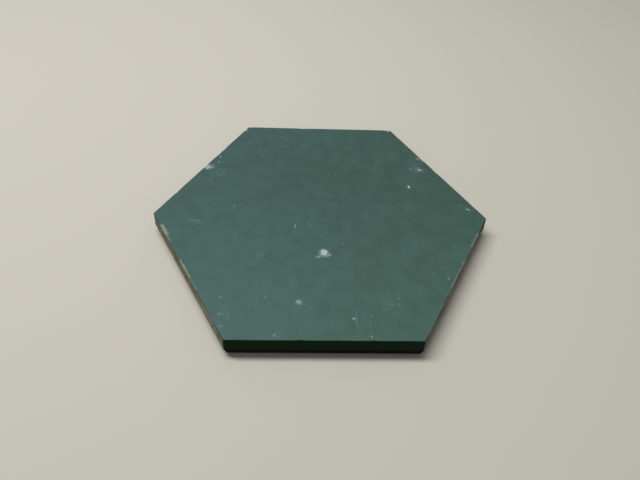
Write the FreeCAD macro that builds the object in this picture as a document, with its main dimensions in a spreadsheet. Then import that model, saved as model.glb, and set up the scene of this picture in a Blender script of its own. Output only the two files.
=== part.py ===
"""Hexagonal pressed-cement wall tile, one solid, in millimetres.

Frame: origin at the centre of the back, which beds on the wall or stands on a
floor. +Z leaves through the show face, +X runs from corner to corner and +Y
from flat to flat.

The tile is pressed as one piece. Its six sides stand upright below the show
face and are undercut along the back, so that two tiles meet at the face first
and adhesive has room behind the joint.
"""

import FreeCAD
import Part
import Sketcher

import math
import os

NODE = "hexagon_tile"
PARTS_FOLDER = "parts"
SIDES = 6
TOLERANCE = 1e-4

# how a sketch constraint names a line's ends, a circle's centre and the sketch's own origin
START = 1
END = 2
CENTRE = 3
SKETCH_ORIGIN = -1

# alias, size in millimetres, what it measures
DIMENSIONS = (
    ("across_flats", 200.0, "width over two opposite sides"),
    ("thickness", 16.0, "back to show face"),
    ("corner_radius", 1.5, "rounding of the six upright corners"),
    ("face_arris_radius", 0.6, "rounding round the show face"),
    ("undercut_height", 5.5, "how far the undercut rises from the back"),
    ("undercut_depth", 1.5, "how far the undercut goes in under the sides"),
)


def make_dimensions(doc):
    """The spreadsheet that drives the model: a name and a value in each row."""
    sheet = doc.addObject("Spreadsheet::Sheet", "Dimensions")
    for row, (alias, size, meaning) in enumerate(DIMENSIONS, start=1):
        sheet.set(f"A{row}", meaning)
        sheet.set(f"B{row}", str(size))
        sheet.setAlias(f"B{row}", alias)
    doc.recompute()
    return sheet


def origin_plane(body, role):
    """One of the body's own origin planes, such as XY_Plane."""
    return next(f for f in body.Origin.OriginFeatures if f.Role == role)


def add_hexagon(sketch, half_width):
    """A regular hexagon about the sketch's origin, with one pair of sides along X.

    All six corners lie on a construction circle and all six sides are equal, so
    the distance from the middle to the side that lies along X sets the size. The
    lines are drawn at their size, which leaves the solver nothing to move.
    """
    upward = FreeCAD.Vector(0, 0, 1)
    turn = FreeCAD.Rotation(upward, 360.0 / SIDES)
    reach = half_width / math.cos(math.pi / SIDES)
    corners = [FreeCAD.Vector(reach, 0, 0)]
    for _ in range(SIDES - 1):
        corners.append(turn.multVec(corners[-1]))
    sides = [
        sketch.addGeometry(Part.LineSegment(corners[i], corners[(i + 1) % SIDES]), False)
        for i in range(SIDES)
    ]
    through_corners = sketch.addGeometry(Part.Circle(FreeCAD.Vector(), upward, reach), True)
    sketch.addConstraint(
        Sketcher.Constraint("Coincident", through_corners, CENTRE, SKETCH_ORIGIN, START))
    for i, side in enumerate(sides):
        following = sides[(i + 1) % SIDES]
        sketch.addConstraint(Sketcher.Constraint("Coincident", side, END, following, START))
        sketch.addConstraint(
            Sketcher.Constraint("PointOnObject", side, START, through_corners))
    for side in sides[1:]:
        sketch.addConstraint(Sketcher.Constraint("Equal", sides[0], side))
    along_x = sides[1]
    sketch.addConstraint(Sketcher.Constraint("Horizontal", along_x))
    height = sketch.addConstraint(
        Sketcher.Constraint("DistanceY", SKETCH_ORIGIN, START, along_x, START, half_width))
    sketch.renameConstraint(height, "half_width")
    sketch.setExpression("Constraints.half_width", "Dimensions.across_flats / 2")


def edges_where(feature, wanted):
    """Names of the feature's edges that the test picks."""
    return [f"Edge{n}" for n, edge in enumerate(feature.Shape.Edges, start=1) if wanted(edge)]


def lies_at(edge, height):
    """Whether both of the edge's ends are at this height."""
    return all(abs(vertex.Z - height) < TOLERANCE for vertex in edge.Vertexes)


def rises(edge):
    """Whether the edge's ends are at different heights."""
    first, last = edge.Vertexes
    return abs(first.Z - last.Z) > TOLERANCE


def is_upright_side(face):
    """Whether the face is a flat one whose normal is level."""
    return isinstance(face.Surface, Part.Plane) and abs(face.Surface.Axis.z) < TOLERANCE


def make_tile(doc, sheet):
    """The tile as one body: a hexagonal slab, the undercut, the corners and the face's arris.

    The undercut comes before the corners, so that a corner is rounded alike from
    the back to the show face, however deep the undercut goes in.
    """
    body = doc.addObject("PartDesign::Body", "Tile")
    body.Label = NODE

    outline = body.newObject("Sketcher::SketchObject", "Outline")
    outline.AttachmentSupport = (origin_plane(body, "XY_Plane"), [""])
    outline.MapMode = "FlatFace"
    add_hexagon(outline, float(sheet.get("across_flats")) / 2)
    doc.recompute()

    slab = body.newObject("PartDesign::Pad", "Slab")
    slab.Profile = outline
    slab.setExpression("Length", "Dimensions.thickness")
    doc.recompute()

    undercut = body.newObject("PartDesign::Chamfer", "Undercut")
    undercut.Base = (slab, edges_where(slab, lambda edge: lies_at(edge, 0.0)))
    undercut.ChamferType = "Two distances"
    undercut.setExpression("Size", "Dimensions.undercut_height")
    undercut.setExpression("Size2", "Dimensions.undercut_depth")
    doc.recompute()

    corners = body.newObject("PartDesign::Fillet", "Corners")
    corners.Base = (undercut, edges_where(undercut, rises))
    corners.setExpression("Radius", "Dimensions.corner_radius")
    doc.recompute()

    top = float(sheet.get("thickness"))
    arris = body.newObject("PartDesign::Fillet", "FaceArris")
    arris.Base = (corners, edges_where(corners, lambda edge: lies_at(edge, top)))
    arris.setExpression("Radius", "Dimensions.face_arris_radius")
    body.Tip = arris
    doc.recompute()
    body.Placement = FreeCAD.Placement()
    return body


def check(doc, body):
    """Stops the build if any object failed or the tile isn't one sound solid."""
    failed = [o.Name for o in doc.Objects if {"Invalid", "Error"} & set(o.State)]
    if failed:
        raise RuntimeError(f"these objects failed to build: {failed}")
    shape = body.Shape
    if shape.isNull() or not shape.isValid() or len(shape.Solids) != 1:
        raise RuntimeError(f"{body.Label} isn't one valid solid")
    upright = [face for face in shape.Faces if is_upright_side(face)]
    if len(upright) != SIDES:
        raise RuntimeError(f"{body.Label} has {len(upright)} upright sides, not {SIDES}")


def main():
    doc = FreeCAD.newDocument("HexagonTile")
    sheet = make_dimensions(doc)
    body = make_tile(doc, sheet)
    doc.recompute()
    check(doc, body)
    os.makedirs(PARTS_FOLDER, exist_ok=True)
    body.Shape.exportStep(os.path.join(PARTS_FOLDER, f"{body.Label}.step"))
    box = body.Shape.optimalBoundingBox()
    print(f"{body.Label}: {box.XLength:.2f} x {box.YLength:.2f} x {box.ZLength:.2f} mm,"
          f" {body.Shape.Volume / 1000:.1f} cm3")


main()
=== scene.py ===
"""The looks of a hexagonal pressed-cement tile that has been handled and stored.

Everything is in metres, in the tile's own frame: the back lies at z = 0, the show
face looks up, X runs from corner to corner and Y from flat side to flat side.

The tile is one worn casting. Its show face is pigmented cement some millimetres
deep, its body is grey cement and sand, and lime has dried on it in spots.
"""

import math

import bpy
import numpy as np
from mathutils import Matrix, Vector


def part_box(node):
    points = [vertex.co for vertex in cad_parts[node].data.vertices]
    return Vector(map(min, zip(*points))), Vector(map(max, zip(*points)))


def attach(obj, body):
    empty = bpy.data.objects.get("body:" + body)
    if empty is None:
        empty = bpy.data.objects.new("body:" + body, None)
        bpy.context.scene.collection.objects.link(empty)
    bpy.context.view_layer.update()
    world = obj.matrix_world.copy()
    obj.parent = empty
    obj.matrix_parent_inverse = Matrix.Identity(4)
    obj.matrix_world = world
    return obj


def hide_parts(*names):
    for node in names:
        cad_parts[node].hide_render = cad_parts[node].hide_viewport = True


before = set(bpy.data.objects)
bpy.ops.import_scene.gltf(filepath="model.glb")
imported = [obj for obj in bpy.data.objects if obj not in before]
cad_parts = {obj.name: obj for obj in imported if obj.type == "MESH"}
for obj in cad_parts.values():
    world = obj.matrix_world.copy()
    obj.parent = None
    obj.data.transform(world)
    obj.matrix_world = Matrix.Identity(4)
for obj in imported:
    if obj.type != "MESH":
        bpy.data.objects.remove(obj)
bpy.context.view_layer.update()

TILE_NODE = "hexagon_tile"
MM = 0.001
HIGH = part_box(TILE_NODE)[1]
HALF_WIDTH = HIGH.y
THICKNESS = HIGH.z
SIDE_LENGTH = 2 * HALF_WIDTH * math.tan(math.pi / 6)
SIDES = 6

# the casting's section, measured from the flat sides inwards and from the back up
UNDERCUT_HEIGHT = 5.5 * MM
UNDERCUT_DEPTH = 1.5 * MM
CORNER_RADIUS = 1.5 * MM
FACE_DROP = 0.3 * MM
BACK_RISE = 0.35 * MM
SIDE_INSET = 0.25 * MM
SIDE_BATTER = 0.7 * MM
ARRIS_RADIUS = 0.45 * MM
BACK_ARRIS = 0.5 * MM
FACE_LEVEL = THICKNESS - FACE_DROP

# how far the casting departs from its true section, in millimetres
FACE_WAVE = 0.04
BRUISE_IN = 0.22
BRUISE_DOWN = 0.16
SIDE_GRAIN = 0.07
SIDE_WAVE = 0.05
FOOT_LOSS = 0.14
BACK_LOSS = 0.28

# how deep the pigment reaches below the face, in millimetres: everywhere, and how much deeper
# on the far sides, at the right-hand corner, and in front, where the deeper reach is painted shade
PIGMENT_DEPTH = 1.1
DEEPER_FAR = 1.6
DEEPER_FRONT_PAINTED_SHADE = 9.6
DEEPER_CORNER = 4.0
CORNER_FROM = 105
LEAST_AT_DARK_BREAK = 5.0

# the three near flat sides, by the way they face, in degrees from X
LEFT_SIDE = 210
FRONT_SIDE = 270
RIGHT_SIDE = 330

# the mesh: points along one flat side, on the show face and on the plainer back
FACE_STEPS = 140
BACK_STEPS = 70
GATHER_AT_CORNERS = 0.3
# rings over the arris, down the side and down the undercut
ARRIS_RINGS = 4
SIDE_RINGS = 13
UNDERCUT_RINGS = 6
# how far in from the arris the face's outermost rings lie, in millimetres
EDGE_RINGS = (0.0, 0.25, 0.5, 0.8, 1.15, 1.55, 2.0, 2.5, 3.1, 3.8)
# how far the undercut's foot stands out of the true section
FOOT_SPREAD = 0.2 * MM


# ---- numbers that the shaping uses ----

def smooth(value):
    """Eases a share between 0 and 1."""
    share = np.clip(value, 0.0, 1.0)
    return share * share * (3 - 2 * share)


def cell_values(cells, seed):
    """A fixed random number from -1 to 1 for each whole-number cell."""
    mixed = (
        cells[:, 0] * 73856093 + cells[:, 1] * 19349663 + cells[:, 2] * 83492791 + seed * 2654435761
    ).astype(np.uint64)
    for _ in range(2):
        mixed ^= mixed >> np.uint64(29)
        mixed *= np.uint64(0x9E3779B97F4A7C15)
    mixed ^= mixed >> np.uint64(32)
    return (mixed >> np.uint64(11)).astype(float) / 2.0 ** 52 - 1.0


def uneven(points, size, seed):
    """Smooth unevenness from -1 to 1 at each point, with lumps of about this size."""
    scaled = points / size
    cells = np.floor(scaled).astype(np.int64)
    share = smooth(scaled - cells)
    total = np.zeros(len(points))
    for step in np.ndindex(2, 2, 2):
        weight = np.prod(np.where(step, share, 1 - share), axis=1)
        total += weight * cell_values(cells + np.array(step), seed)
    return total


def rough(points, size, seed, layers=3):
    """Unevenness with finer lumps on the coarse ones, about -1 to 1."""
    total = sum(uneven(points, size / 2 ** i, seed + i) / 2 ** i for i in range(layers))
    return total / sum(1 / 2 ** i for i in range(layers))


# ---- the casting ----

def outline(steps, inset):
    """Points round the tile, this far inside its flat sides, with rounded corners."""
    if steps == 0:
        return np.zeros((1, 2))
    share = np.arange(steps) / steps
    along = share - GATHER_AT_CORNERS * np.sin(2 * np.pi * share) / (2 * np.pi)
    reach = (HALF_WIDTH - inset) / math.cos(math.pi / SIDES)
    radius = max(CORNER_RADIUS - inset, 0.0)
    tangent = radius * math.tan(math.pi / SIDES)
    points = []
    for side in range(SIDES):
        turn = [math.radians(60 * (side + end)) for end in (0, 1)]
        ends = [reach * np.array([math.cos(a), math.sin(a)]) for a in turn]
        line = ends[0] + along[:, None] * (ends[1] - ends[0])
        for end, angle, way in ((ends[0], turn[0], 1), (ends[1], turn[1], -1)):
            distance = np.linalg.norm(line - end, axis=1)
            near = distance < tangent - 1e-9
            if not near.any():
                continue
            centre = end * (1 - radius / math.cos(math.pi / SIDES) / reach)
            swing = angle + way * distance[near] / tangent * math.pi / SIDES
            line[near] = centre + radius * np.stack([np.cos(swing), np.sin(swing)], 1)
        points.append(line)
    return np.concatenate(points)


def ring_plan():
    """The casting's rings from the middle of the face, over the edge, to the middle of the back.

    Each ring is its steps along one flat side, its inset from the flat sides and its height.
    """
    side_top = FACE_LEVEL - ARRIS_RADIUS
    inner = SIDE_INSET + SIDE_BATTER + ARRIS_RADIUS
    close = np.array(EDGE_RINGS) * MM
    rings = []
    start = inner + close[-1]
    for outer in range(FACE_STEPS, -1, -1):
        share = (outer - len(close) + 1) / (FACE_STEPS - len(close) + 1)
        inset = inner + close[outer] if outer < len(close) else start + (HALF_WIDTH - start) * share
        rings.append((FACE_STEPS - outer, inset, FACE_LEVEL))
    for share in np.linspace(0, 1, ARRIS_RINGS + 1)[1:]:
        swing = share * math.pi / 2
        rings.append((
            FACE_STEPS,
            inner - ARRIS_RADIUS * math.sin(swing),
            side_top + ARRIS_RADIUS * math.cos(swing),
        ))
    for share in np.linspace(0, 1, SIDE_RINGS + 1)[1:]:
        height = side_top + share * (UNDERCUT_HEIGHT - side_top)
        rings.append((FACE_STEPS, SIDE_INSET + (1 - share) * SIDE_BATTER, height))
    foot_inset = SIDE_INSET + UNDERCUT_DEPTH - FOOT_SPREAD
    foot_height = BACK_RISE + BACK_ARRIS
    for share in np.linspace(0, 1, UNDERCUT_RINGS + 1)[1:]:
        inset = SIDE_INSET + share * (foot_inset - SIDE_INSET)
        rings.append((FACE_STEPS, inset, UNDERCUT_HEIGHT + share * (foot_height - UNDERCUT_HEIGHT)))
    rings.append((FACE_STEPS, foot_inset + 0.4 * BACK_ARRIS, BACK_RISE + 0.3 * BACK_ARRIS))
    rings.append((FACE_STEPS, foot_inset + BACK_ARRIS, BACK_RISE))
    start = foot_inset + 2.2 * BACK_ARRIS
    for step in range(BACK_STEPS, -1, -1):
        share = 1 - step / BACK_STEPS
        rings.append((step, start + (HALF_WIDTH - start) * share, BACK_RISE))
    return rings


def join_rings(first, first_steps, second, second_steps):
    """Triangles between two rings whose points are numbered from these two starts."""
    faces = []
    for side in range(SIDES):
        a, b = 0, 0
        while a < first_steps or b < second_steps:
            here = first + (side * first_steps + a) % max(SIDES * first_steps, 1)
            there = second + (side * second_steps + b) % max(SIDES * second_steps, 1)
            next_a = (a + 1) / first_steps if a < first_steps else math.inf
            next_b = (b + 1) / second_steps if b < second_steps else math.inf
            if next_a <= next_b:
                following = first + (side * first_steps + a + 1) % (SIDES * first_steps)
                faces.append((here, following, there))
                a += 1
            else:
                following = second + (side * second_steps + b + 1) % (SIDES * second_steps)
                faces.append((here, following, there))
                b += 1
    return faces


# ---- damage to the edges: where each piece broke out, in millimetres on the face ----

# where on the face's edge, x and y, radius of the break, its depth, and 1 where it came out pale
NICKS = (
    (-85.6, 51.6, 4.5, 0.55, 1),
    (-77.0, 66.6, 3.5, 0.30, 1),
    (-58.9, 97.4, 3.0, 0.45, 1),
    (56.4, 99.6, 3.5, 0.45, 1),
    (-105.9, -14.8, 4.0, 0.45, 1),
    (-103.7, -18.6, 3.5, 0.35, 1),
    (-101.4, -24.2, 3.0, 0.22, 1),
    (-88.4, -46.8, 6.0, 0.25, 1),
    (-80.6, -60.2, 5.0, 0.22, 1),
    (104.6, -18.8, 5.0, 0.20, 1),
    (99.4, -27.8, 6.0, 0.18, 1),
    (84.6, -53.4, 6.0, 0.20, 1),
    (79.0, 63.0, 4.0, 0.25, 1),
    (59.4, -97.2, 3.2, 1.00, 0),
    (60.8, -94.8, 3.0, 0.55, 0),
)

# how steeply a nick opens: its height over its way in
NICK_OPENING = 1.1

# a corner that lost its tip: the corner's number round the tile, how far back in millimetres,
# and how steep the break is in degrees
LOST_TIPS = (
    (0, 0.5, 50.0),
    (4, 0.4, 55.0),
    (2, 0.6, 50.0),
)

# stretches of arris rubbed pale, in millimetres: from x and y, to x and y, how wide, how pale
RUBBED = (
    (-106.8, -12.9, -103.6, -18.4, 4.4, 1.0),
    (-103.6, -18.4, -100.0, -24.6, 3.0, 0.75),
    (-100.2, -24.4, -90.2, -41.7, 1.2, 0.45),
    (-90.2, -41.7, -83.0, -54.2, 2.0, 1.0),
    (-83.0, -54.2, -77.2, -64.2, 1.7, 0.75),
    (-77.2, -64.2, -61.2, -91.7, 1.1, 0.5),
    (105.5, -15.2, 99.2, -26.2, 2.2, 0.75),
    (98.7, -27.2, 91.2, -40.2, 1.3, 0.6),
    (91.2, -40.2, 80.0, -59.6, 2.0, 0.8),
    (80.0, -59.6, 60.2, -93.7, 1.4, 0.6),
    (-87.0, 49.0, -83.0, 56.0, 1.6, 0.9),
    (-60.5, 95.0, -57.5, 99.5, 1.4, 0.8),
    (50.0, 99.8, 57.5, 99.5, 1.2, 0.9),
    (-50.0, 99.8, 40.0, 99.8, 0.9, 0.55),
    (66.0, 85.0, 90.0, 44.0, 0.9, 0.55),
    (-66.0, 85.0, -98.0, 29.0, 0.8, 0.5),
)


def break_nicks(points, loss, dark_loss):
    """Scoops the nicks out of the edge, and notes on each point how much went."""
    for x, y, radius, depth, pale in NICKS:
        edge = np.array([x * MM, y * MM, FACE_LEVEL])
        away = np.array([x, y, 0.0]) / math.hypot(x, y)
        away = (away + np.array([0.0, 0.0, NICK_OPENING])) / math.sqrt(1 + NICK_OPENING ** 2)
        middle = edge + away * (radius - depth) * MM
        offset = points - middle
        distance = np.linalg.norm(offset, axis=1)
        reach = radius * MM * (1 + 0.07 * uneven(points, 1.1 * MM, int(abs(x * 7))))
        inside = distance < reach
        moved = (reach - distance)[inside]
        points[inside] = middle + offset[inside] / distance[inside, None] * reach[inside, None]
        noted = loss if pale else dark_loss
        noted[inside] = np.maximum(noted[inside], moved)


def break_tips(points, dark_loss):
    """Cuts the lost corner tips away along a rough slope."""
    for corner, back, steepness in LOST_TIPS:
        turn = math.radians(60 * corner)
        tip = SIDE_LENGTH - back * MM
        slope = math.radians(steepness)
        out = np.array([math.cos(turn) * math.sin(slope), math.sin(turn) * math.sin(slope), math.cos(slope)])
        place = np.array([math.cos(turn) * tip, math.sin(turn) * tip, FACE_LEVEL])
        proud = (points - place) @ out + 0.12 * MM * rough(points, 1.4 * MM, 40 + corner)
        near = (proud > 0) & (points[:, 2] > FACE_LEVEL - 7 * MM)
        points[near] -= proud[near, None] * out
        dark_loss[near] = np.maximum(dark_loss[near], proud[near])


def rubbed_pale(points):
    """How pale each point was rubbed, from the stretches of arris that are worn."""
    flat = points[:, :2]
    total = np.zeros(len(points))
    for x0, y0, x1, y1, width, strength in RUBBED:
        start = np.array([x0, y0]) * MM
        run = np.array([x1, y1]) * MM - start
        share = np.clip((flat - start) @ run / (run @ run), 0, 1)
        distance = np.linalg.norm(flat - start - share[:, None] * run, axis=1)
        reach = width * MM * (1 + 0.3 * uneven(points, 2.6 * MM, 61))
        total = np.maximum(total, strength * smooth(1.25 - 1.25 * distance / reach))
    return total


def side_share(points, degrees, spread=1.0):
    """How much each point belongs to the flat side that faces this way, from 0 to 1."""
    turn = np.degrees(np.arctan2(points[:, 1], points[:, 0]))
    off = np.abs((turn - degrees + 180) % 360 - 180)
    return smooth((30 + spread - off) / spread)


def make_tile_mesh():
    """The casting's true section: its points, how far in from the flat sides each is, its faces."""
    rings = ring_plan()
    points, inset, faces, starts = [], [], [], []
    for steps, ring_inset, height in rings:
        flat = outline(steps, ring_inset)
        starts.append(sum(len(p) for p in points))
        points.append(np.column_stack([flat, np.full(len(flat), height)]))
        inset.append(np.full(len(flat), ring_inset))
    for first, second in zip(range(len(rings)), range(1, len(rings))):
        faces += join_rings(starts[first], rings[first][0], starts[second], rings[second][0])
    return np.concatenate(points), np.concatenate(inset), faces


def on_back_share(points):
    """1 on the back, and 0 a little way above it."""
    return smooth((1.2 * MM - points[:, 2]) / (0.6 * MM))


def weather(points, inset):
    """Makes the true section uneven, as a casting is.

    Returns how much each point lost to pale nicks and to dark ones, and how bruised it is.
    """
    loss, dark_loss = np.zeros(len(points)), np.zeros(len(points))
    outward = points * [1, 1, 0]
    outward /= np.maximum(np.linalg.norm(outward, axis=1, keepdims=True), 1e-9)
    near_face = smooth((points[:, 2] - FACE_LEVEL + 2.5 * MM) / (2.2 * MM))
    near_edge = smooth(1.2 - (inset - SIDE_INSET - SIDE_BATTER) / (1.3 * MM))
    on_back = on_back_share(points) * smooth((inset - UNDERCUT_DEPTH) / MM)
    upright = (1 - near_face) * near_edge

    # the face: dead flat to the eye, with a slow wave from the press
    points[:, 2] += near_face * FACE_WAVE * MM * uneven(points, 45 * MM, 3)
    # its arris: bruised here and there, crisp elsewhere
    bruise = smooth(rough(points, 7 * MM, 11) * 1.6 - 0.15) * near_face * near_edge
    points -= (outward * BRUISE_IN + [0, 0, BRUISE_DOWN]) * (bruise * MM)[:, None]
    # the sides: drawn from the mould, with a sandy skin and a ragged foot
    sandy = SIDE_GRAIN * rough(points, 1.9 * MM, 21, 2) + SIDE_WAVE * uneven(points, 9 * MM, 23)
    points -= outward * (upright * np.abs(sandy) * MM)[:, None]
    foot = smooth((UNDERCUT_HEIGHT - points[:, 2]) / (3 * MM)) * (1 - near_face)
    foot *= smooth(2 - (inset - UNDERCUT_DEPTH) / MM)
    points -= outward * (foot * FOOT_LOSS * MM * (1 + rough(points, 6 * MM, 27)) / 2)[:, None]
    # the back: dry mortar, struck off and pressed, so it is open and uneven
    points[:, 2] += on_back * BACK_LOSS * MM * (1 + rough(points, 5 * MM, 31)) / 2

    break_nicks(points, loss, dark_loss)
    break_tips(points, dark_loss)
    return loss, dark_loss, bruise


def pigment_and_shade_left(points, depth, dark_loss):
    """How much deeper the pigment, and in front the painted shade, reaches than each point, in millimetres.

    It is a thin layer all round. In front the dark green is drawn far down as painted shade, on the side
    that faces away from the lamp.
    """
    front = side_share(points, FRONT_SIDE)
    reach = PIGMENT_DEPTH + 0.6 * rough(points * [1, 1, 0.3], 6 * MM, 51)
    reach += (1 - side_share(points, LEFT_SIDE)) * (1 - side_share(points, RIGHT_SIDE)) * DEEPER_FAR
    # painted shade: the front side's dark green reaches far down, as that side lies in shade
    reach += front * (DEEPER_FRONT_PAINTED_SHADE + 0.4 * rough(points * [1, 1, 0], 14 * MM, 53))
    reach += smooth((points[:, 0] / MM - CORNER_FROM) / 6) * DEEPER_CORNER
    broken = np.maximum(reach, LEAST_AT_DARK_BREAK)
    return np.where(dark_loss > 0.05 * MM, broken, reach) - depth


def pale_wear(points, depth, loss, dark_loss, bruise):
    """How pale each point is, from rubbed arrises, bruises and pale nicks."""
    edge = smooth(1.2 - depth / 1.5)
    wear = edge * rubbed_pale(points)
    wear = np.maximum(wear, smooth(loss / (0.3 * MM)) * edge)
    wear = np.maximum(wear, bruise * 0.3 * (1 - 0.8 * side_share(points, FRONT_SIDE)))
    return wear * (1 - smooth(dark_loss / (0.1 * MM)))


def painted_undercut_shade(points, inset):
    """Painted shade in the undercut and at the foot of the front side: darkest in front, less on the right,
    least on the left, the side towards the lamp.
    """
    front = side_share(points, FRONT_SIDE)
    above_lip = 0.3 + 2.4 * front
    foot = smooth((UNDERCUT_HEIGHT + above_lip * MM - points[:, 2]) / ((0.9 + 2.0 * front) * MM))
    undercut_shade = foot * (0.2 + 0.78 * front + 0.35 * side_share(points, RIGHT_SIDE) * (1 - front))
    return undercut_shade * smooth(1 - (inset - UNDERCUT_DEPTH - SIDE_INSET) / (6 * MM))


def tile_marks(points, inset, loss, dark_loss, bruise):
    """What the material and the scattered grains need to know at each point of the casting."""
    depth = (FACE_LEVEL - points[:, 2]) / MM
    cut = smooth((depth - 0.12) / 0.3)
    cut = np.maximum(cut, smooth(dark_loss / (0.2 * MM) - 0.2))
    # pigment near the face, and painted shade far down the front side
    pigment_and_shade = pigment_and_shade_left(points, depth, dark_loss)
    bare = smooth(-pigment_and_shade / 2.0) * smooth((depth - 1.5) / 2.0)
    sandy = np.maximum(on_back_share(points), 0.3 * bare * (1 - 0.7 * side_share(points, FRONT_SIDE)))
    return {
        "cut": cut,
        "pigment_and_shade": pigment_and_shade,
        "wear": pale_wear(points, depth, loss, dark_loss, bruise),
        # the mark of painted shade in the undercut and at the front side's foot
        "undercut_shade": painted_undercut_shade(points, inset),
        "sandy": sandy,
        "crumbs": crumbs_of_lime(points) * (1 - cut),
    }


def crumbs_of_lime(points):
    """How thickly crumbs of lime lie on each point of the face."""
    total = np.zeros(len(points))
    for x, y, length, width, turn, _, strength in LIME_SPOTS:
        swing = math.radians(turn)
        off = points[:, :2] / MM - [x, y]
        along = off @ [math.cos(swing), math.sin(swing)] / length
        across = off @ [-math.sin(swing), math.cos(swing)] / width
        total = np.maximum(total, strength ** 2 * smooth(1.4 - np.hypot(along, across)))
    return total


def mesh_object(name, points, faces, marks):
    """An object of this mesh, with each mark kept on its points."""
    mesh = bpy.data.meshes.new(name)
    mesh.from_pydata(points.tolist(), [], faces)
    for mark, values in marks.items():
        attribute = mesh.attributes.new(mark, "FLOAT", "POINT")
        attribute.data.foreach_set("value", np.asarray(values, np.float32))
    mesh.polygons.foreach_set("use_smooth", np.ones(len(faces), bool))
    mesh.update()
    piece = bpy.data.objects.new(name, mesh)
    bpy.context.scene.collection.objects.link(piece)
    return piece


# ---- colours, as they look in daylight, some with painted shade in them ----

def colour(red, green, blue):
    """A colour written in display values from 0 to 255, as the shader wants it."""
    parts = [c / 255 for c in (red, green, blue)]
    linear = [c / 12.92 if c <= 0.04045 else ((c + 0.055) / 1.055) ** 2.4 for c in parts]
    return (*linear, 1.0)


TEAL = colour(65, 92, 84)
BLUE_TEAL = colour(68, 95, 90)
LEAF_TEAL = colour(64, 91, 81)
# painted shade: the pigment's green on the sides is written far darker than the face's, as a shaded side
# looks
SHADED_DEEP_GREEN = colour(7, 34, 17)
CEMENT = colour(137, 135, 117)
CEMENT_DARK = colour(106, 103, 86)
SAND_PALE = colour(166, 161, 143)
LIME = colour(194, 212, 209)
WORN = colour(146, 151, 132)
WORN_GREEN = colour(106, 126, 111)
# painted shade for the undercut and the front side's foot: brown, then near black
SHADE_BROWN = colour(30, 31, 20)
SHADE_BLACK = colour(5, 5, 2)
FLOOR = colour(205, 201, 190)


# ---- shader node groups ----

def new_group(name, inputs, outputs):
    """An empty shader node group with these sockets, and its two end nodes."""
    group = bpy.data.node_groups.new(name, "ShaderNodeTree")
    for label, kind, value in inputs:
        socket = group.interface.new_socket(label, in_out="INPUT", socket_type=kind)
        if value is not None:
            socket.default_value = value
    for label, kind in outputs:
        group.interface.new_socket(label, in_out="OUTPUT", socket_type=kind)
    return group, group.nodes.new("NodeGroupInput"), group.nodes.new("NodeGroupOutput")


def wire(tree, source, target):
    tree.links.new(source, target)


def feed(tree, socket, value):
    """Sets a socket: to a number or colour, or to what another socket gives."""
    if isinstance(value, bpy.types.NodeSocket):
        wire(tree, value, socket)
    else:
        socket.default_value = value


def maths(tree, operation, *values, clamp=False):
    node = tree.nodes.new("ShaderNodeMath")
    node.operation = operation
    node.use_clamp = clamp
    for socket, value in zip(node.inputs, values):
        feed(tree, socket, value)
    return node.outputs[0]


def vector_maths(tree, operation, *values):
    node = tree.nodes.new("ShaderNodeVectorMath")
    node.operation = operation
    for socket, value in zip(node.inputs, values):
        feed(tree, socket, value)
    return node.outputs["Value" if operation in ("LENGTH", "DISTANCE", "DOT_PRODUCT") else "Vector"]


def stretch(tree, value, low, high, to_low=0.0, to_high=1.0, smoothly=True):
    """Carries a value from one range to another, and holds it there."""
    node = tree.nodes.new("ShaderNodeMapRange")
    node.interpolation_type = "SMOOTHSTEP" if smoothly else "LINEAR"
    for label, given in zip(("Value", "From Min", "From Max", "To Min", "To Max"),
                            (value, low, high, to_low, to_high)):
        feed(tree, node.inputs[label], given)
    return node.outputs["Result"]


def blend(tree, share, first, second, how="MIX"):
    """Mixes two colours."""
    node = tree.nodes.new("ShaderNodeMix")
    node.data_type = "RGBA"
    node.blend_type = how
    feed(tree, node.inputs["Factor"], share)
    feed(tree, node.inputs[6], first)
    feed(tree, node.inputs[7], second)
    return node.outputs[2]


def scaled(tree, vector, amount):
    """A vector or colour made longer or brighter by this much."""
    node = vector_maths(tree, "SCALE", vector).node
    feed(tree, node.inputs["Scale"], amount)
    return node.outputs["Vector"]


def noise(tree, place, size, detail=2.0, roughness=0.5, want="Fac"):
    """Noise whose lumps are about this size, in metres."""
    node = tree.nodes.new("ShaderNodeTexNoise")
    wire(tree, place, node.inputs["Vector"])
    node.inputs["Scale"].default_value = 1 / size
    node.inputs["Detail"].default_value = detail
    node.inputs["Roughness"].default_value = roughness
    return node.outputs[want]


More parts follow.
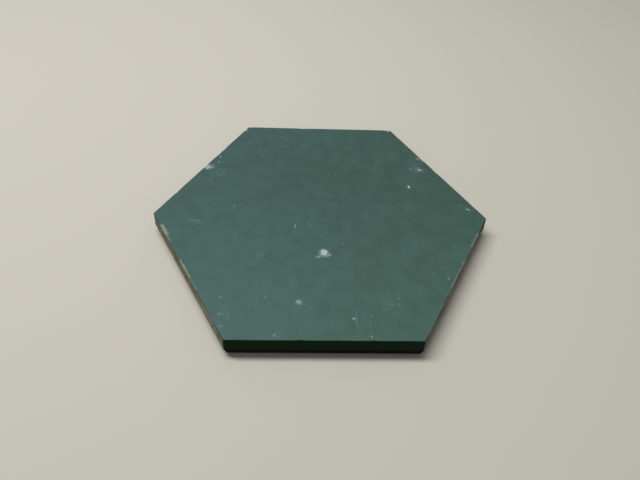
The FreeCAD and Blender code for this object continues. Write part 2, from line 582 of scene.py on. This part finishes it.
def make_clouding_group():
    """Pigmented cement: slow clouds of two greens, finer mottling, a trace of grain, and a painted sheen
    that brightens it towards the front.
    """
    group, given, out = new_group(
        "pigment_clouding",
        [
            ("Place", "NodeSocketVector", None),
            ("Colour", "NodeSocketColor", TEAL),
            ("Cool", "NodeSocketColor", BLUE_TEAL),
            ("Warm", "NodeSocketColor", LEAF_TEAL),
            ("Mottle", "NodeSocketFloat", 0.5),
        ],
        [("Colour", "NodeSocketColor"), ("Cloud", "NodeSocketFloat")],
    )
    place = given.outputs["Place"]
    split = group.nodes.new("ShaderNodeSeparateXYZ")
    wire(group, place, split.inputs[0])
    slow = noise(group, place, 46 * MM, 2.0)
    across = maths(group, "MULTIPLY_ADD", split.outputs["X"], 3.0, slow)
    cool_side = stretch(group, across, 0.25, 0.62)
    pigment = blend(group, cool_side, given.outputs["Cool"], given.outputs["Colour"])
    warm_side = stretch(group, across, 0.5, 0.95)
    pigment = blend(group, warm_side, pigment, given.outputs["Warm"])
    patch = stretch(group, noise(group, place, 19 * MM, 3.0, 0.55), 0.46, 0.66, 0.0, 0.55)
    pigment = blend(group, patch, pigment, given.outputs["Cool"])
    mottle = noise(group, place, 9 * MM, 3.0, 0.6)
    tone = stretch(group, mottle, 0.3, 0.7, 0.92, 1.08)
    fine = noise(group, place, 1.3 * MM, 2.0, 0.6)
    fine_tone = stretch(group, fine, 0.3, 0.7, 0.94, 1.06)
    both = maths(group, "MULTIPLY", tone, fine_tone)
    share = given.outputs["Mottle"]
    even = maths(group, "SUBTRACT", 1.0, share)
    weighted = maths(group, "MULTIPLY_ADD", both, share, even)
    # painted sheen: the colour grows up to 1.28 times brighter towards the front edge
    forward = stretch(group, split.outputs["Y"], 30 * MM, -100 * MM, 1.0, 1.28, smoothly=False)
    weighted = maths(group, "MULTIPLY", weighted, forward)
    wire(group, scaled(group, pigment, weighted), out.inputs["Colour"])
    wire(group, mottle, out.inputs["Cloud"])
    return group


def make_grain_group():
    """Cement and sand: the matrix, pale and dark grains in it, and open pores."""
    group, given, out = new_group(
        "cement_grain",
        [
            ("Place", "NodeSocketVector", None),
            ("Colour", "NodeSocketColor", CEMENT),
            ("Dark", "NodeSocketColor", CEMENT_DARK),
            ("Grain", "NodeSocketColor", SAND_PALE),
            ("Sand", "NodeSocketFloat", 0.5),
        ],
        [("Colour", "NodeSocketColor"), ("Height", "NodeSocketFloat")],
    )
    place = given.outputs["Place"]
    clouds = noise(group, place, 14 * MM, 4.0, 0.6)
    matrix = blend(group, stretch(group, clouds, 0.35, 0.65), given.outputs["Dark"], given.outputs["Colour"])
    cells = group.nodes.new("ShaderNodeTexVoronoi")
    wire(group, place, cells.inputs["Vector"])
    cells.inputs["Scale"].default_value = 1 / (1.1 * MM)
    grain = stretch(group, cells.outputs["Distance"], 0.42, 0.2)
    tint = group.nodes.new("ShaderNodeSeparateColor")
    wire(group, cells.outputs["Color"], tint.inputs[0])
    chosen = stretch(group, tint.outputs[0], 0.55, 0.7)
    shown = maths(group, "MULTIPLY", maths(group, "MULTIPLY", grain, chosen), given.outputs["Sand"])
    sandy = blend(group, shown, matrix, given.outputs["Grain"])
    pores = noise(group, place, 2.2 * MM, 3.0, 0.7)
    open_pore = stretch(group, pores, 0.36, 0.28)
    dark_pore = maths(group, "MULTIPLY", open_pore, 0.6)
    wire(group, blend(group, dark_pore, sandy, given.outputs["Dark"], "MULTIPLY"), out.inputs["Colour"])
    rise = maths(group, "SUBTRACT", maths(group, "MULTIPLY", shown, 0.6), open_pore)
    wire(group, rise, out.inputs["Height"])
    return group


def make_spot_group():
    """A splash or bruise: 1 at its middle and 0 past its ragged rim."""
    group, given, out = new_group(
        "spot",
        [
            ("Place", "NodeSocketVector", None),
            ("Middle", "NodeSocketVector", None),
            ("Radii", "NodeSocketVector", (MM, MM, 50 * MM)),
            ("Turn", "NodeSocketFloat", 0.0),
            ("Softness", "NodeSocketFloat", 0.5),
            ("Strength", "NodeSocketFloat", 1.0),
            ("Others", "NodeSocketFloat", 0.0),
        ],
        [("Mask", "NodeSocketFloat")],
    )
    offset = vector_maths(group, "SUBTRACT", given.outputs["Place"], given.outputs["Middle"])
    turned = group.nodes.new("ShaderNodeVectorRotate")
    turned.rotation_type = "Z_AXIS"
    wire(group, offset, turned.inputs["Vector"])
    wire(group, given.outputs["Turn"], turned.inputs["Angle"])
    shares = vector_maths(group, "DIVIDE", turned.outputs[0], given.outputs["Radii"])
    distance = vector_maths(group, "LENGTH", shares)
    inner = maths(group, "SUBTRACT", 1.0, given.outputs["Softness"])
    mask = stretch(group, distance, 1.0, inner)
    strong = maths(group, "MULTIPLY", mask, given.outputs["Strength"])
    wire(group, maths(group, "MAXIMUM", strong, given.outputs["Others"]), out.inputs["Mask"])
    return group


# marks on the show face, in millimetres: x, y, half length, half width, turn, softness, strength
LIME_SPOTS = (
    (0.6, -34.0, 3.3, 3.8, 0, 0.6, 0.62),
    (0.8, -33.2, 2.6, 2.8, 20, 0.45, 1.0),
    (4.2, -35.4, 1.5, 1.8, -20, 0.8, 0.45),
    (-2.9, -37.0, 1.9, 1.6, 20, 0.8, 0.45),
    (-15.2, -72.7, 2.4, 2.0, -10, 0.5, 0.38),
    (17.3, -84.2, 1.2, 1.1, 0, 0.6, 0.5),
    (63.9, 30.8, 0.8, 1.5, 0, 0.4, 1.0),
    (74.6, 50.4, 2.5, 1.5, -10, 0.7, 0.55),
    (68.0, 50.8, 1.4, 1.0, 0, 0.8, 0.3),
    (74.9, 63.4, 2.2, 1.3, -35, 0.8, 0.36),
    (78.6, 61.0, 1.6, 0.9, -40, 0.8, 0.42),
    (103.2, 8.4, 2.8, 0.9, -35, 0.7, 0.45),
    (98.2, 12.4, 1.8, 0.5, -35, 0.9, 0.2),
    (-83.6, 48.9, 2.7, 2.2, 60, 0.4, 1.0),
    (-80.8, 48.8, 2.0, 1.6, 20, 0.9, 0.6),
    (-76.2, 54.6, 0.9, 0.8, 0, 0.6, 0.5),
    (-75.6, 61.2, 0.8, 1.1, 20, 0.6, 0.6),
    (-58.8, 94.6, 1.3, 1.0, -20, 0.6, 0.6),
    (55.4, 97.9, 2.0, 1.0, -10, 0.6, 0.75),
    (50.0, 98.6, 1.2, 0.5, 0, 0.8, 0.3),
    (-54.2, 80.0, 0.8, 0.7, 0, 0.9, 0.3),
    (13.5, -25.7, 1.0, 0.5, -30, 0.9, 0.3),
    (86.2, -27.1, 0.8, 0.8, 0, 0.8, 0.3),
    (69.8, -49.8, 1.4, 0.9, -30, 0.9, 0.2),
    (78.5, -53.7, 1.0, 1.2, 0, 0.8, 0.26),
    (45.1, -69.7, 0.6, 1.1, 0, 0.8, 0.3),
    (27.4, -82.0, 0.6, 0.9, 0, 0.8, 0.3),
    (26.5, -96.2, 1.0, 0.8, 0, 0.8, 0.42),
    (-28.9, -96.0, 0.9, 0.7, 0, 0.8, 0.42),
    (-62.0, -69.4, 0.9, 0.7, 0, 0.8, 0.35),
    (-60.0, -89.6, 1.8, 1.0, -50, 0.9, 0.32),
    (-18.4, -10.4, 0.8, 2.4, -12, 0.8, 0.32),
)
# where lime has dried as a thin bloom
HAZES = (
    (-85.0, -7.4, 7.0, 5.0, -20, 1.0, 0.20),
    (-40.6, -35.9, 5.0, 5.0, 0, 1.0, 0.16),
    (-60.4, 8.0, 5.0, 5.0, 0, 1.0, 0.15),
    (-60.0, -82.0, 9.0, 7.0, 30, 1.0, 0.18),
    (-35.0, -70.0, 16.0, 11.0, 10, 1.0, 0.08),
    (-76.0, 40.0, 11.0, 7.0, 40, 1.0, 0.16),
    (73.0, 51.0, 11.0, 8.0, -40, 1.0, 0.20),
    (40.0, -74.0, 18.0, 12.0, 15, 1.0, 0.08),
    (76.0, -48.0, 12.0, 9.0, 60, 1.0, 0.05),
    (0.3, -34.2, 5.2, 5.6, 0, 1.0, 0.36),
    (-82.5, 49.5, 6.5, 5.0, 50, 1.0, 0.40),
)
# thin scuffs
SCUFFS = (
    (-8.4, -9.6, 6.6, 0.40, -66, 0.9, 0.17),
    (-18.4, -10.0, 3.0, 0.80, 78, 0.9, 0.20),
    (18.8, -85.2, 9.4, 0.42, -87, 0.9, 0.17),
    (26.4, -89.0, 7.0, 0.36, -88, 0.9, 0.10),
    (44.6, -66.0, 6.0, 0.34, -88, 0.9, 0.08),
    (60.0, 8.0, 9.0, 0.34, -30, 0.9, 0.05),
    (-44.0, 26.0, 12.0, 0.34, 15, 0.9, 0.05),
    (40.0, 50.0, 10.0, 0.34, 40, 0.9, 0.05),
)


def place_spots(tree, group, place, spots):
    """Every spot of a list in one mask."""
    mask = None
    for x, y, length, width, turn, softness, strength in spots:
        node = tree.nodes.new("ShaderNodeGroup")
        node.node_tree = group
        wire(tree, place, node.inputs["Place"])
        node.inputs["Middle"].default_value = (x * MM, y * MM, FACE_LEVEL)
        node.inputs["Radii"].default_value = (length * MM, width * MM, 50 * MM)
        node.inputs["Turn"].default_value = -math.radians(turn)
        node.inputs["Softness"].default_value = softness
        node.inputs["Strength"].default_value = strength
        if mask is not None:
            wire(tree, mask, node.inputs["Others"])
        mask = node.outputs["Mask"]
    return mask


def use_group(tree, group, **values):
    """Places a node group in a tree with these values on its sockets."""
    node = tree.nodes.new("ShaderNodeGroup")
    node.node_tree = group
    for label, value in values.items():
        feed(tree, node.inputs[label], value)
    return node


def new_material(name):
    """A material with one Principled BSDF, and the place of each point on the object."""
    material = bpy.data.materials.new(name)
    material.use_nodes = True
    tree = material.node_tree
    shader = tree.nodes["Principled BSDF"]
    place = tree.nodes.new("ShaderNodeTexCoord").outputs["Object"]
    return material, tree, shader, place


def relief(tree, shader, height, distance, strength=1.0):
    """Gives the surface this fine relief, as deep as the distance in metres."""
    bump = tree.nodes.new("ShaderNodeBump")
    bump.inputs["Strength"].default_value = strength
    bump.inputs["Distance"].default_value = distance
    wire(tree, height, bump.inputs["Height"])
    wire(tree, bump.outputs["Normal"], shader.inputs["Normal"])


def mark_of(tree, name):
    node = tree.nodes.new("ShaderNodeAttribute")
    node.attribute_name = name
    return node.outputs["Fac"]


def ragged_place(tree, place, size, amount):
    """The place, shaken a little, so that a rim drawn there comes out ragged."""
    shake = vector_maths(tree, "SUBTRACT", noise(tree, place, size, 3.0, 0.65, "Color"), (0.5, 0.5, 0.5))
    return vector_maths(tree, "ADD", place, scaled(tree, shake, amount))


def make_tile_material(clouding, grain, spot):
    material, tree, shader, place = new_material("pigmented_cement")
    cut, pigment_and_shade, wear, undercut_shade = (mark_of(tree, name) for name in ("cut", "pigment_and_shade", "wear", "undercut_shade"))
    ragged = ragged_place(tree, place, 1.6 * MM, 2.2 * MM)
    wavy = ragged_place(tree, place, 6 * MM, 1.2 * MM)

    face = use_group(tree, clouding, Place=place, Mottle=0.9)
    cement = use_group(tree, grain, Place=place, Sand=0.5)
    # the sides' pigment, its greens written dark as painted shade
    deep = use_group(tree, clouding, Place=place, Colour=SHADED_DEEP_GREEN, Cool=SHADED_DEEP_GREEN,
                     Warm=colour(20, 34, 24), Mottle=1.0)

    rim = maths(tree, "MULTIPLY_ADD", noise(tree, place, 1.8 * MM, 3.0, 0.65), 3.2, -1.6)
    # the sides' dark green: real pigment near the face, and painted shade far down the front side
    pigmented = stretch(tree, maths(tree, "ADD", pigment_and_shade, rim), -0.5, 0.6)
    side = blend(tree, pigmented, cement.outputs["Colour"], deep.outputs["Colour"])
    shown = blend(tree, cut, face.outputs["Colour"], side)

    crumbly = stretch(tree, noise(tree, place, 1.0 * MM, 4.0, 0.7), 0.35, 0.65)
    chalk = noise(tree, place, 2.4 * MM, 4.0, 0.7)
    rubbed = maths(tree, "MULTIPLY_ADD", chalk, 0.7, maths(tree, "SUBTRACT", wear, 0.55))
    worn = stretch(tree, rubbed, 0.0, 0.8, 0.0, 0.9)
    worn_colour = blend(tree, stretch(tree, rubbed, 0.3, 0.85), WORN_GREEN, WORN)
    shown = blend(tree, worn, shown, worn_colour)

    specks = stretch(tree, noise(tree, place, 2.6 * MM, 4.0, 0.75), 0.46, 0.68)
    haze = maths(tree, "MULTIPLY", place_spots(tree, spot, wavy, HAZES), specks)
    scuff = place_spots(tree, spot, wavy, SCUFFS)
    lime = place_spots(tree, spot, ragged, LIME_SPOTS)
    lime_shown = maths(tree, "MULTIPLY", lime, maths(tree, "MULTIPLY_ADD", crumbly, 0.5, 0.5))
    white = maths(tree, "MAXIMUM", lime_shown, maths(tree, "MAXIMUM", haze, scuff))
    shown = blend(tree, white, shown, LIME)
    # painted shade in the undercut and at the front side's foot: brown, then near black where it is deepest
    shown = blend(tree, stretch(tree, undercut_shade, 0.0, 0.5), shown, SHADE_BROWN)
    shown = blend(tree, stretch(tree, undercut_shade, 0.45, 0.95), shown, SHADE_BLACK)
    wire(tree, shown, shader.inputs["Base Color"])

    dull = maths(tree, "MAXIMUM", maths(tree, "MAXIMUM", cut, white), worn)
    base_gloss = stretch(tree, face.outputs["Cloud"], 0.3, 0.7, 0.6, 0.72)
    rough_side = maths(tree, "MULTIPLY", dull, 0.25)
    shader.inputs["Specular IOR Level"].default_value = 0.14
    wire(tree, maths(tree, "ADD", base_gloss, rough_side, clamp=True), shader.inputs["Roughness"])

    fine = maths(tree, "MULTIPLY", noise(tree, place, 0.5 * MM, 3.0, 0.6), 0.16)
    pits = stretch(tree, noise(tree, place, 1.4 * MM, 2.0, 0.5), 0.27, 0.22, 0.0, -0.8)
    side_relief = maths(tree, "MULTIPLY", cement.outputs["Height"], cut)
    height = maths(tree, "ADD", maths(tree, "ADD", fine, pits), side_relief)
    height = maths(tree, "ADD", height, maths(tree, "MULTIPLY", lime_shown, 1.2))
    relief(tree, shader, height, 0.2 * MM, 0.45)
    return material


def make_lime_material(grain):
    """Crumbs of dried lime, chalky and nearly white."""
    material, tree, shader, place = new_material("dried_lime")
    chalk = use_group(tree, grain, Place=place, Colour=LIME, Dark=colour(150, 170, 166), Sand=0.0)
    wire(tree, chalk.outputs["Colour"], shader.inputs["Base Color"])
    shader.inputs["Roughness"].default_value = 0.9
    shader.inputs["Specular IOR Level"].default_value = 0.2
    relief(tree, shader, noise(tree, place, 0.15 * MM, 3.0), 0.05 * MM)
    return material


def make_sand_material(grain):
    """Grains of sand in a skin of cement, each its own grey or tan."""
    material, tree, shader, place = new_material("sand_in_cement")
    skin = use_group(tree, grain, Place=place, Sand=1.0)
    cells = noise(tree, place, 3.0 * MM, 1.0)
    tinted = blend(tree, stretch(tree, cells, 0.4, 0.6), skin.outputs["Colour"], colour(122, 108, 84))
    wire(tree, tinted, shader.inputs["Base Color"])
    shader.inputs["Roughness"].default_value = 0.85
    shader.inputs["Specular IOR Level"].default_value = 0.25
    relief(tree, shader, noise(tree, place, 0.3 * MM, 3.0), 0.08 * MM)
    return material


# ---- grains and crumbs, scattered by Geometry Nodes ----

def make_scatter_tree():
    """Scatters small broken grains over a surface where a mark says, half sunk in it."""
    tree = bpy.data.node_groups.new("scatter_grains", "GeometryNodeTree")
    for label, kind in (
        ("Surface", "NodeSocketGeometry"),
        ("Mark", "NodeSocketString"),
        ("Grains a Square Metre", "NodeSocketFloat"),
        ("Smallest", "NodeSocketFloat"),
        ("Largest", "NodeSocketFloat"),
        ("Flatness", "NodeSocketFloat"),
        ("Seed", "NodeSocketInt"),
        ("Finish", "NodeSocketMaterial"),
    ):
        tree.interface.new_socket(label, in_out="INPUT", socket_type=kind)
    tree.interface.new_socket("Grains", in_out="OUTPUT", socket_type="NodeSocketGeometry")
    given = tree.nodes.new("NodeGroupInput").outputs
    out = tree.nodes.new("NodeGroupOutput")

    mark = tree.nodes.new("GeometryNodeInputNamedAttribute")
    mark.data_type = "FLOAT"
    wire(tree, given["Mark"], mark.inputs["Name"])
    points = tree.nodes.new("GeometryNodeDistributePointsOnFaces")
    wire(tree, given["Surface"], points.inputs["Mesh"])
    density = maths(tree, "MULTIPLY", mark.outputs["Attribute"], given["Grains a Square Metre"])
    wire(tree, density, points.inputs["Density"])
    wire(tree, given["Seed"], points.inputs["Seed"])

    size = random_value(tree, given["Smallest"], given["Largest"], given["Seed"])
    lengthen = random_value(tree, 0.7, 1.3, 7)
    scale = tree.nodes.new("ShaderNodeCombineXYZ")
    wire(tree, maths(tree, "MULTIPLY", size, lengthen), scale.inputs["X"])
    wire(tree, size, scale.inputs["Y"])
    wire(tree, maths(tree, "MULTIPLY", size, given["Flatness"]), scale.inputs["Z"])
    spin = tree.nodes.new("ShaderNodeCombineXYZ")
    wire(tree, random_value(tree, 0.0, 2 * math.pi, 11), spin.inputs["Z"])
    turn = tree.nodes.new("FunctionNodeEulerToRotation")
    wire(tree, spin.outputs[0], turn.inputs[0])
    lay = tree.nodes.new("FunctionNodeRotateRotation")
    lay.rotation_space = "LOCAL"
    wire(tree, points.outputs["Rotation"], lay.inputs[0])
    wire(tree, turn.outputs[0], lay.inputs[1])

    grain = tree.nodes.new("GeometryNodeMeshIcoSphere")
    grain.inputs["Radius"].default_value = 1.0
    grain.inputs["Subdivisions"].default_value = 1
    placed = tree.nodes.new("GeometryNodeInstanceOnPoints")
    wire(tree, points.outputs["Points"], placed.inputs["Points"])
    wire(tree, grain.outputs["Mesh"], placed.inputs["Instance"])
    wire(tree, lay.outputs[0], placed.inputs["Rotation"])
    wire(tree, scale.outputs[0], placed.inputs["Scale"])
    real = tree.nodes.new("GeometryNodeRealizeInstances")
    wire(tree, placed.outputs["Instances"], real.inputs["Geometry"])

    shake = tree.nodes.new("ShaderNodeTexNoise")
    shake.inputs["Scale"].default_value = 1 / (0.4 * MM)
    centred = vector_maths(tree, "SUBTRACT", shake.outputs["Color"], (0.5, 0.5, 0.5))
    pushed = scaled(tree, centred, maths(tree, "MULTIPLY", given["Largest"], 0.35))
    broken = tree.nodes.new("GeometryNodeSetPosition")
    wire(tree, real.outputs["Geometry"], broken.inputs["Geometry"])
    wire(tree, pushed, broken.inputs["Offset"])
    finish = tree.nodes.new("GeometryNodeSetMaterial")
    wire(tree, broken.outputs["Geometry"], finish.inputs["Geometry"])
    wire(tree, given["Finish"], finish.inputs["Material"])
    wire(tree, finish.outputs["Geometry"], out.inputs["Grains"])
    return tree


def random_value(tree, low, high, seed):
    """A random number for each point, between these two."""
    node = tree.nodes.new("FunctionNodeRandomValue")
    node.data_type = "FLOAT"
    feed(tree, node.inputs[2], low)
    feed(tree, node.inputs[3], high)
    feed(tree, node.inputs["Seed"], seed)
    return node.outputs[1]


def scatter(name, carrier_mesh, tree, settings):
    """A plain mesh of the grains that the tree scatters over this mesh."""
    carrier = bpy.data.objects.new(name + "_carrier", carrier_mesh)
    bpy.context.scene.collection.objects.link(carrier)
    modifier = carrier.modifiers.new("scatter", "NODES")
    modifier.node_group = tree
    for item in tree.interface.items_tree:
        if item.in_out == "INPUT" and item.name in settings:
            modifier[item.identifier] = settings[item.name]
    carrier.update_tag()
    evaluated = carrier.evaluated_get(bpy.context.evaluated_depsgraph_get())
    mesh = bpy.data.meshes.new_from_object(evaluated)
    bpy.data.objects.remove(carrier)
    mesh.name = name
    piece = bpy.data.objects.new(name, mesh)
    bpy.context.scene.collection.objects.link(piece)
    return piece


# ---- floor, light and camera ----

FLOOR_RADIUS = 9.0
FLOOR_CORNERS = 96


def make_floor():
    bpy.ops.mesh.primitive_circle_add(vertices=FLOOR_CORNERS, radius=FLOOR_RADIUS, fill_type="NGON")
    floor = bpy.context.object
    floor.name = "floor"
    material, tree, shader, place = new_material("plain_floor")
    shader.inputs["Base Color"].default_value = FLOOR
    shader.inputs["Roughness"].default_value = 0.9
    floor.data.materials.append(material)


# one long soft lamp above and to the left, and an even sky
SOFTBOX_PLACE = (-0.36, 0.17, 1.2)
SOFTBOX_LENGTH = 1.0
SOFTBOX_WIDTH = 0.26
SOFTBOX_WATTS = 12.8
SKY_STRENGTH = 0.24


def make_light():
    world = bpy.data.worlds.new("daylight")
    bpy.context.scene.world = world
    world.use_nodes = True
    world.node_tree.nodes["Background"].inputs["Color"].default_value = (1, 1, 1, 1)
    world.node_tree.nodes["Background"].inputs["Strength"].default_value = SKY_STRENGTH
    lamp = bpy.data.lights.new("softbox", "AREA")
    lamp.shape = "RECTANGLE"
    lamp.size = SOFTBOX_LENGTH
    lamp.size_y = SOFTBOX_WIDTH
    lamp.energy = SOFTBOX_WATTS
    holder = bpy.data.objects.new("softbox", lamp)
    bpy.context.scene.collection.objects.link(holder)
    holder.location = SOFTBOX_PLACE
    holder.rotation_euler = (0, math.atan2(SOFTBOX_PLACE[0], SOFTBOX_PLACE[2]), 0)


# the camera: its place from the middle of the face, counted in lengths of one flat side,
# the way it looks in degrees, and its lens in millimetres
CAMERA_PLACE = (-0.1405, -2.2760, 2.2900)
CAMERA_AZIMUTH = 3.454
CAMERA_DOWN = 47.72
CAMERA_ROLL = 3.415
LENS = 30.57


def make_camera():
    data = bpy.data.cameras.new("camera")
    data.lens = LENS
    data.sensor_width = 36.0
    data.clip_start = 0.01
    camera = bpy.data.objects.new("camera", data)
    bpy.context.scene.collection.objects.link(camera)
    azimuth, down, roll = (math.radians(a) for a in (CAMERA_AZIMUTH, CAMERA_DOWN, CAMERA_ROLL))
    forward = Vector((
        math.sin(azimuth) * math.cos(down), math.cos(azimuth) * math.cos(down), -math.sin(down)))
    level = Vector((math.cos(azimuth), -math.sin(azimuth), 0))
    above = level.cross(forward)
    right = math.cos(roll) * level + math.sin(roll) * above
    up = math.cos(roll) * above - math.sin(roll) * level
    place = Vector(CAMERA_PLACE) * SIDE_LENGTH + Vector((0, 0, THICKNESS))
    turned = Matrix((right, up, -forward)).transposed().to_4x4()
    camera.matrix_world = Matrix.Translation(place) @ turned
    bpy.context.scene.camera = camera


def main():
    bpy.context.scene.view_settings.view_transform = "Standard"
    make_camera()
    make_light()
    make_floor()

    clouding = make_clouding_group()
    grain = make_grain_group()
    spot = make_spot_group()
    tile_finish = make_tile_material(clouding, grain, spot)

    points, inset, faces = make_tile_mesh()
    loss, dark_loss, bruise = weather(points, inset)
    marks = tile_marks(points, inset, loss, dark_loss, bruise)
    tile = mesh_object("tile_casting", points, faces, marks)
    tile.data.materials.append(tile_finish)

    scatter_tree = make_scatter_tree()
    sand = scatter("sand_grains", tile.data, scatter_tree, {
        "Mark": "sandy",
        "Grains a Square Metre": 120000.0,
        "Smallest": 0.18 * MM,
        "Largest": 0.42 * MM,
        "Flatness": 0.5,
        "Seed": 5,
        "Finish": make_sand_material(grain),
    })
    crumbs = scatter("lime_crumbs", tile.data, scatter_tree, {
        "Mark": "crumbs",
        "Grains a Square Metre": 9.0e6,
        "Smallest": 0.08 * MM,
        "Largest": 0.26 * MM,
        "Flatness": 0.6,
        "Seed": 8,
        "Finish": make_lime_material(grain),
    })
    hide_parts(TILE_NODE)
    for piece in (tile, sand, crumbs):
        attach(piece, "root")
        print(piece.name, "triangles", sum(len(p.vertices) - 2 for p in piece.data.polygons))


main()

bpy.context.view_layer.update()
